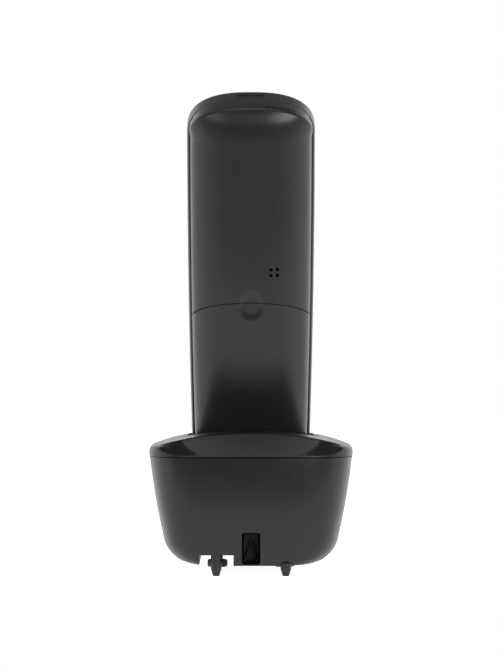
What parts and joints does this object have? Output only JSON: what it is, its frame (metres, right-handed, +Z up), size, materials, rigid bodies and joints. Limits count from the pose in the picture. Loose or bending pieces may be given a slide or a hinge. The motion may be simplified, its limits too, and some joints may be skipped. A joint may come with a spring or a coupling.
{
  "type": "cordless telephone",
  "caption": "Cordless telephone handset leaning back in the cup of its charging base station, with keypad, display, sliding battery cover and sprung charging contacts.",
  "frame": {"origin": "on the floor, under the middle of the whole phone's box", "axes": "+Z up; -Y towards the keypad side, +Y towards the back; +X across, to the right as the keypad is seen from the front"},
  "size_m": [0.0792, 0.0988, 0.1841],
  "materials": {
    "case_plastic": "fine moulded satin texture, near black",
    "base_plastic": "fine moulded satin texture, near black",
    "key_plastic": "satin moulded plastic, dark grey",
    "talk_key_plastic": "satin moulded plastic, muted green",
    "end_key_plastic": "satin moulded plastic, muted red",
    "window_plastic": "polished clear plastic with a dark printed border",
    "lens_plastic": "smoked translucent plastic",
    "lcd_glass": "grey-green reflective liquid crystal display",
    "key_mat_rubber": "grey silicone rubber",
    "circuit_board": "green solder mask on glass-epoxy board",
    "nickel": "nickel-plated spring steel",
    "contact_gold": "gold-coloured plated contact",
    "screw_steel": "zinc-plated steel",
    "cell_wrap": "shrink film over a steel can",
    "foot_rubber": "black moulded rubber",
    "socket_plastic": "black moulded plastic"
  },
  "bodies": {
    "base": {"base_top_cover": "base_plastic", "base_lower_housing": "base_plastic", "base_board": "circuit_board", "charge_board": "circuit_board", "lead_socket": "socket_plastic", "status_light": "lens_plastic", "rubber_foot_left": "foot_rubber", "rubber_foot_right": "foot_rubber", "base_screw_left": "screw_steel", "base_screw_right": "screw_steel"},
    "handset": {"handset_front_case": "case_plastic", "handset_rear_case": "case_plastic", "display_window": "window_plastic", "lcd_module": "lcd_glass", "key_mat": "key_mat_rubber", "handset_board": "circuit_board", "earpiece_speaker": "nickel", "ringer_speaker": "nickel", "microphone": "nickel", "ringer_light_bar": "lens_plastic", "battery_cell_left": "cell_wrap", "battery_cell_right": "cell_wrap", "battery_spring_left": "nickel", "battery_spring_right": "nickel", "battery_plate_left": "nickel", "battery_plate_right": "nickel", "handset_charge_plate_left": "contact_gold", "handset_charge_plate_right": "contact_gold", "handset_screw_left": "screw_steel", "handset_screw_right": "screw_steel"},
    "battery_cover": {"battery_cover": "case_plastic"},
    "page_button": {"page_button": "key_plastic"},
    "charge_pin_left": {"charge_pin_left": "contact_gold"},
    "charge_pin_right": {"charge_pin_right": "contact_gold"},
    "key_star": {"key_star": "key_plastic"},
    "key_0": {"key_0": "key_plastic"},
    "key_hash": {"key_hash": "key_plastic"},
    "key_1": {"key_1": "key_plastic"},
    "key_2": {"key_2": "key_plastic"},
    "key_3": {"key_3": "key_plastic"},
    "key_4": {"key_4": "key_plastic"},
    "key_5": {"key_5": "key_plastic"},
    "key_6": {"key_6": "key_plastic"},
    "key_7": {"key_7": "key_plastic"},
    "key_8": {"key_8": "key_plastic"},
    "key_9": {"key_9": "key_plastic"},
    "key_talk": {"key_talk": "talk_key_plastic"},
    "key_end": {"key_end": "end_key_plastic"},
    "key_soft_left": {"key_soft_left": "key_plastic"},
    "key_soft_right": {"key_soft_right": "key_plastic"},
    "key_rocker": {"key_rocker": "key_plastic"}
  },
  "joints": [
    {"name": "handset_lift", "type": "slide", "parent": "base", "child": "handset", "axis": [0, 0.4226, 0.9063], "range_m": [0, 0.045]},
    {"name": "battery_cover_slide", "type": "slide", "parent": "handset", "child": "battery_cover", "axis": [0, -0.4226, -0.9063], "range_m": [0, 0.006]},
    {"name": "key_star_press", "type": "slide", "parent": "handset", "child": "key_star", "axis": [0, 0.9063, -0.4226], "range_m": [0, 0.0006], "stiffness_N_per_m": 1800},
    {"name": "key_0_press", "type": "slide", "parent": "handset", "child": "key_0", "axis": [0, 0.9063, -0.4226], "range_m": [0, 0.0006], "stiffness_N_per_m": 1800},
    {"name": "key_hash_press", "type": "slide", "parent": "handset", "child": "key_hash", "axis": [0, 0.9063, -0.4226], "range_m": [0, 0.0006], "stiffness_N_per_m": 1800},
    {"name": "key_1_press", "type": "slide", "parent": "handset", "child": "key_1", "axis": [0, 0.9063, -0.4226], "range_m": [0, 0.0006], "stiffness_N_per_m": 1800},
    {"name": "key_2_press", "type": "slide", "parent": "handset", "child": "key_2", "axis": [0, 0.9063, -0.4226], "range_m": [0, 0.0006], "stiffness_N_per_m": 1800},
    {"name": "key_3_press", "type": "slide", "parent": "handset", "child": "key_3", "axis": [0, 0.9063, -0.4226], "range_m": [0, 0.0006], "stiffness_N_per_m": 1800},
    {"name": "key_4_press", "type": "slide", "parent": "handset", "child": "key_4", "axis": [0, 0.9063, -0.4226], "range_m": [0, 0.0006], "stiffness_N_per_m": 1800},
    {"name": "key_5_press", "type": "slide", "parent": "handset", "child": "key_5", "axis": [0, 0.9063, -0.4226], "range_m": [0, 0.0006], "stiffness_N_per_m": 1800},
    {"name": "key_6_press", "type": "slide", "parent": "handset", "child": "key_6", "axis": [0, 0.9063, -0.4226], "range_m": [0, 0.0006], "stiffness_N_per_m": 1800},
    {"name": "key_7_press", "type": "slide", "parent": "handset", "child": "key_7", "axis": [0, 0.9063, -0.4226], "range_m": [0, 0.0006], "stiffness_N_per_m": 1800},
    {"name": "key_8_press", "type": "slide", "parent": "handset", "child": "key_8", "axis": [0, 0.9063, -0.4226], "range_m": [0, 0.0006], "stiffness_N_per_m": 1800},
    {"name": "key_9_press", "type": "slide", "parent": "handset", "child": "key_9", "axis": [0, 0.9063, -0.4226], "range_m": [0, 0.0006], "stiffness_N_per_m": 1800},
    {"name": "key_talk_press", "type": "slide", "parent": "handset", "child": "key_talk", "axis": [0, 0.9063, -0.4226], "range_m": [0, 0.0006], "stiffness_N_per_m": 1800},
    {"name": "key_end_press", "type": "slide", "parent": "handset", "child": "key_end", "axis": [0, 0.9063, -0.4226], "range_m": [0, 0.0006], "stiffness_N_per_m": 1800},
    {"name": "key_soft_left_press", "type": "slide", "parent": "handset", "child": "key_soft_left", "axis": [0, 0.9063, -0.4226], "range_m": [0, 0.0006], "stiffness_N_per_m": 1800},
    {"name": "key_soft_right_press", "type": "slide", "parent": "handset", "child": "key_soft_right", "axis": [0, 0.9063, -0.4226], "range_m": [0, 0.0006], "stiffness_N_per_m": 1800},
    {"name": "key_rocker_tilt", "type": "hinge", "parent": "handset", "child": "key_rocker", "pos_m": [0, 0.00211, 0.1241], "axis": [1, 0, 0], "range_deg": [-3.5, 3.5], "stiffness_Nm_per_rad": 0.12},
    {"name": "page_button_press", "type": "slide", "parent": "base", "child": "page_button", "axis": [0, 0.5, -0.866], "range_m": [0, 0.0007], "stiffness_N_per_m": 1500},
    {"name": "charge_pin_left_press", "type": "slide", "parent": "base", "child": "charge_pin_left", "axis": [0, -0.4226, -0.9063], "range_m": [0, 0.0012], "stiffness_N_per_m": 400},
    {"name": "charge_pin_right_press", "type": "slide", "parent": "base", "child": "charge_pin_right", "axis": [0, -0.4226, -0.9063], "range_m": [0, 0.0012], "stiffness_N_per_m": 400}
  ]
}
